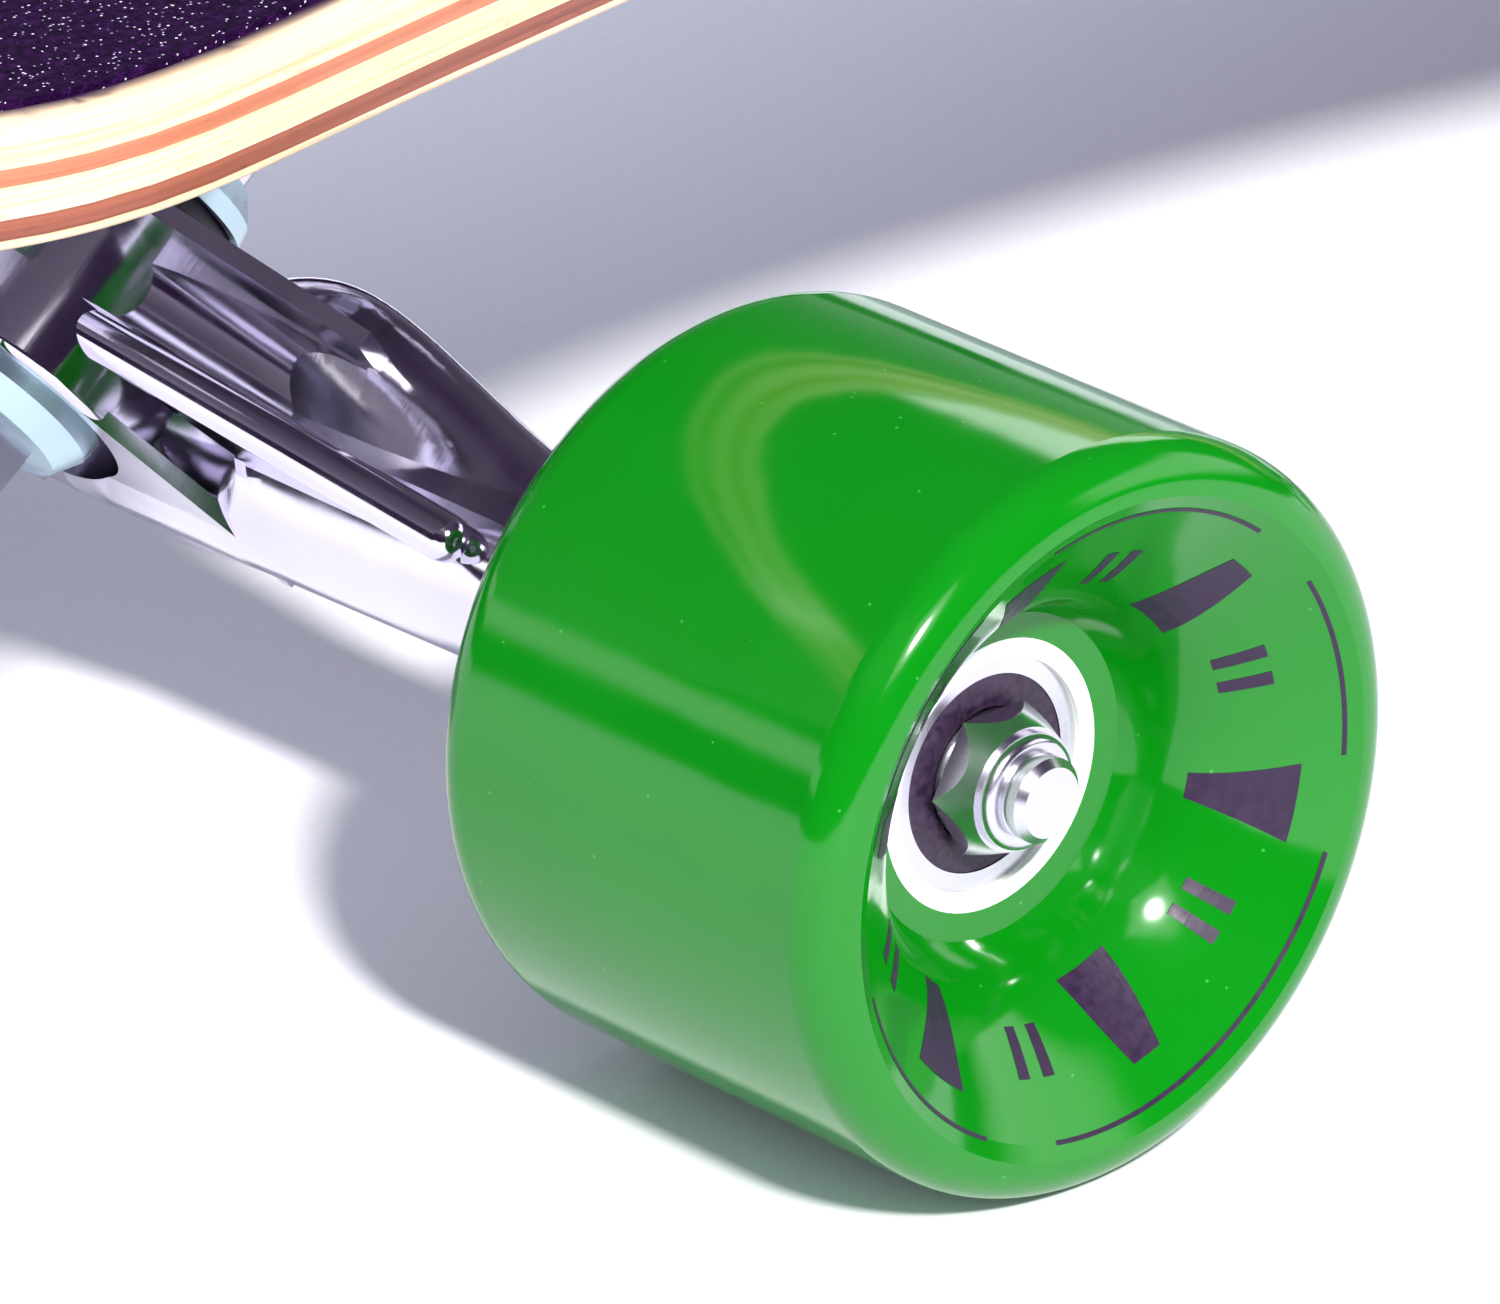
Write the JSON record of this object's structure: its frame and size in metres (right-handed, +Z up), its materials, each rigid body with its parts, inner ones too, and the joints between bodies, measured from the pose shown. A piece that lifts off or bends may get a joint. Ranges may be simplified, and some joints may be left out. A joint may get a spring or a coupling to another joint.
{
  "type": "skateboard",
  "caption": "Long flat skateboard with a laminated drop-through deck, grip tape, two steering trucks and four wide urethane wheels on ball bearings.",
  "frame": {"origin": "on the ground below the middle of the deck", "axes": "+X towards the front end of the deck, +Y towards the left wheels, +Z up"},
  "size_m": [1.0412, 0.263, 0.1132],
  "materials": {
    "grip": "coarse grit",
    "ply_maple": "clear lacquer on the edge",
    "ply_red": "stained",
    "ply_brown": "stained",
    "urethane": "poured, satin gloss",
    "core_plastic": "moulded",
    "shield_black": "black",
    "bearing_steel": "ground",
    "zinc_steel": "zinc plated",
    "blue_zinc": "blue zinc plated",
    "bushing_black": "cast urethane",
    "cup_plastic": "moulded",
    "polished_cast": "polished casting"
  },
  "bodies": {
    "board": {"deck_bolt_nuts": "zinc_steel", "deck_bolts": "zinc_steel", "deck_ply_1": "ply_maple", "deck_ply_2": "ply_maple", "deck_ply_3": "ply_maple", "deck_ply_4": "ply_red", "deck_ply_5": "ply_maple", "deck_ply_6": "ply_maple", "deck_ply_7": "ply_brown", "deck_ply_8": "ply_maple", "grip_tape_ends": "grip", "grip_tape_middle": "grip", "front_baseplate": "polished_cast", "front_pivot_cup": "cup_plastic", "front_kingpin": "zinc_steel", "front_kingpin_nut": "zinc_steel", "front_boardside_bushing": "bushing_black", "front_roadside_bushing": "bushing_black", "front_boardside_washer": "blue_zinc", "front_roadside_washer": "blue_zinc", "rear_baseplate": "polished_cast", "rear_pivot_cup": "cup_plastic", "rear_kingpin": "zinc_steel", "rear_kingpin_nut": "zinc_steel", "rear_boardside_bushing": "bushing_black", "rear_roadside_bushing": "bushing_black", "rear_boardside_washer": "blue_zinc", "rear_roadside_washer": "blue_zinc"},
    "front_hanger": {"front_hanger": "polished_cast", "front_axle": "zinc_steel", "front_axle_nuts": "zinc_steel", "front_speed_washers": "zinc_steel", "front_bearing_inner_rings": "bearing_steel", "front_bearing_spacers": "bearing_steel"},
    "front_left_wheel": {"front_left_wheel_tyre": "urethane", "front_left_wheel_core": "core_plastic", "front_left_wheel_bearing_outer_rings": "bearing_steel", "front_left_wheel_bearing_shields": "shield_black"},
    "front_left_wheel_balls": {"front_left_wheel_balls": "bearing_steel"},
    "front_right_wheel": {"front_right_wheel_tyre": "urethane", "front_right_wheel_core": "core_plastic", "front_right_wheel_bearing_outer_rings": "bearing_steel", "front_right_wheel_bearing_shields": "shield_black"},
    "front_right_wheel_balls": {"front_right_wheel_balls": "bearing_steel"},
    "rear_hanger": {"rear_hanger": "polished_cast", "rear_axle": "zinc_steel", "rear_axle_nuts": "zinc_steel", "rear_speed_washers": "zinc_steel", "rear_bearing_inner_rings": "bearing_steel", "rear_bearing_spacers": "bearing_steel"},
    "rear_left_wheel": {"rear_left_wheel_tyre": "urethane", "rear_left_wheel_core": "core_plastic", "rear_left_wheel_bearing_outer_rings": "bearing_steel", "rear_left_wheel_bearing_shields": "shield_black"},
    "rear_left_wheel_balls": {"rear_left_wheel_balls": "bearing_steel"},
    "rear_right_wheel": {"rear_right_wheel_tyre": "urethane", "rear_right_wheel_core": "core_plastic", "rear_right_wheel_bearing_outer_rings": "bearing_steel", "rear_right_wheel_bearing_shields": "shield_black"},
    "rear_right_wheel_balls": {"rear_right_wheel_balls": "bearing_steel"}
  },
  "joints": [
    {"name": "front_steer", "type": "hinge", "parent": "board", "child": "front_hanger", "pos_m": [0.4045, 0, 0.05], "axis": [0.6428, 0, 0.766], "range_deg": [-15, 15], "stiffness_Nm_per_rad": 60, "deforming": ["front_boardside_bushing", "front_roadside_bushing"]},
    {"name": "front_left_wheel_spin", "type": "hinge", "parent": "front_hanger", "child": "front_left_wheel", "pos_m": [0.395, 0, 0.035], "axis": [0, 1, 0], "continuous": true},
    {"name": "front_left_wheel_balls_roll", "type": "hinge", "parent": "front_hanger", "child": "front_left_wheel_balls", "pos_m": [0.395, 0, 0.035], "axis": [0, 1, 0], "continuous": true},
    {"name": "front_right_wheel_spin", "type": "hinge", "parent": "front_hanger", "child": "front_right_wheel", "pos_m": [0.395, 0, 0.035], "axis": [0, 1, 0], "continuous": true},
    {"name": "front_right_wheel_balls_roll", "type": "hinge", "parent": "front_hanger", "child": "front_right_wheel_balls", "pos_m": [0.395, 0, 0.035], "axis": [0, 1, 0], "continuous": true},
    {"name": "rear_steer", "type": "hinge", "parent": "board", "child": "rear_hanger", "pos_m": [-0.4045, 0, 0.05], "axis": [-0.6428, 0, 0.766], "range_deg": [-15, 15], "stiffness_Nm_per_rad": 60, "deforming": ["rear_boardside_bushing", "rear_roadside_bushing"]},
    {"name": "rear_left_wheel_spin", "type": "hinge", "parent": "rear_hanger", "child": "rear_left_wheel", "pos_m": [-0.395, 0, 0.035], "axis": [0, 1, 0], "continuous": true},
    {"name": "rear_left_wheel_balls_roll", "type": "hinge", "parent": "rear_hanger", "child": "rear_left_wheel_balls", "pos_m": [-0.395, 0, 0.035], "axis": [0, 1, 0], "continuous": true},
    {"name": "rear_right_wheel_spin", "type": "hinge", "parent": "rear_hanger", "child": "rear_right_wheel", "pos_m": [-0.395, 0, 0.035], "axis": [0, 1, 0], "continuous": true},
    {"name": "rear_right_wheel_balls_roll", "type": "hinge", "parent": "rear_hanger", "child": "rear_right_wheel_balls", "pos_m": [-0.395, 0, 0.035], "axis": [0, 1, 0], "continuous": true}
  ],
  "couplings": [
    {"joint": "front_left_wheel_balls_roll", "follows": "front_left_wheel_spin", "ratio": 0.6323},
    {"joint": "front_right_wheel_balls_roll", "follows": "front_right_wheel_spin", "ratio": 0.6323},
    {"joint": "rear_left_wheel_balls_roll", "follows": "rear_left_wheel_spin", "ratio": 0.6323},
    {"joint": "rear_right_wheel_balls_roll", "follows": "rear_right_wheel_spin", "ratio": 0.6323}
  ]
}
